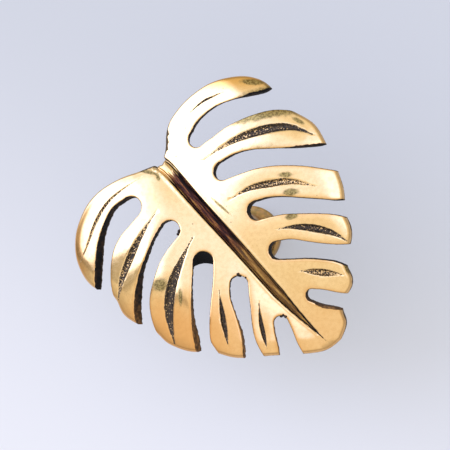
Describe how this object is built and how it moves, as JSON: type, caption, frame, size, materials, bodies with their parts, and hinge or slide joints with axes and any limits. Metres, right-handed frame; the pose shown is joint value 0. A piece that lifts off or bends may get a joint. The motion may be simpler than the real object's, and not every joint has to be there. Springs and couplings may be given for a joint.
{
  "type": "leaf shaped cabinet pull",
  "caption": "Cast brass cabinet knob: a domed, slotted tropical leaf with engraved veins and a sunk midrib on a round post.",
  "frame": {"origin": "centre of the foot face, where the knob stands on a door or drawer front, under the middle of the leaf", "axes": "+Z along the post from the foot face to the leaf, +X towards the tips of the right hand lobes, +Y towards the top lobe"},
  "size_m": [0.0633, 0.0606, 0.0352],
  "materials": {
    "brass": "polished cast brass with blackened engraved grooves, walls and back"
  },
  "bodies": {
    "root": {"leaf_knob": "brass"}
  },
  "joints": []
}
